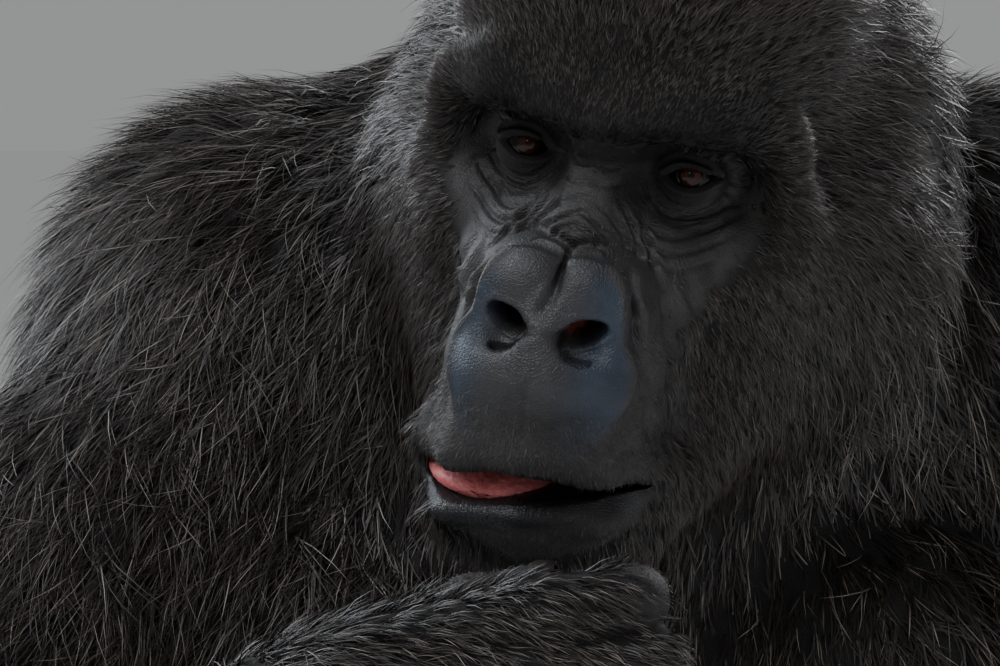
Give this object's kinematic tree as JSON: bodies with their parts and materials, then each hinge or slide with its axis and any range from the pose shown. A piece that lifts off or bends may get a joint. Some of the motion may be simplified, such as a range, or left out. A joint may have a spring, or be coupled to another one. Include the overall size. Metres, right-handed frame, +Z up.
{
  "type": "gorilla figure",
  "caption": "Seated adult male gorilla, a still life-size figure with its right fist raised before the chin and its left knuckles on the floor.",
  "frame": {"origin": "on the floor, at the middle of the flat under the rump", "axes": "+Z up, the animal faces -Y, +X towards its left side"},
  "size_m": [1.1368, 0.9721, 1.1068],
  "materials": {
    "bare_skin": "bare black skin with a soft bluish shine",
    "black_coat": "black-brown hair, matt with fine highlights",
    "silver_coat": "short grey saddle hair",
    "tongue": "wet pink",
    "eye": "wet dark eye with a red-brown iris"
  },
  "bodies": {
    "root": {"head": "bare_skin", "jaw": "bare_skin", "tongue": "tongue", "eye_l": "eye", "eye_r": "eye", "ear_l": "bare_skin", "ear_r": "bare_skin", "neck": "black_coat", "chest": "black_coat", "belly": "silver_coat", "rump": "silver_coat", "upper_arm_l": "black_coat", "upper_arm_r": "black_coat", "forearm_l": "black_coat", "forearm_r": "black_coat", "hand_l": "bare_skin", "hand_r": "bare_skin", "thigh_l": "black_coat", "thigh_r": "black_coat", "shank_l": "black_coat", "shank_r": "black_coat", "foot_l": "bare_skin", "foot_r": "bare_skin"}
  },
  "joints": []
}
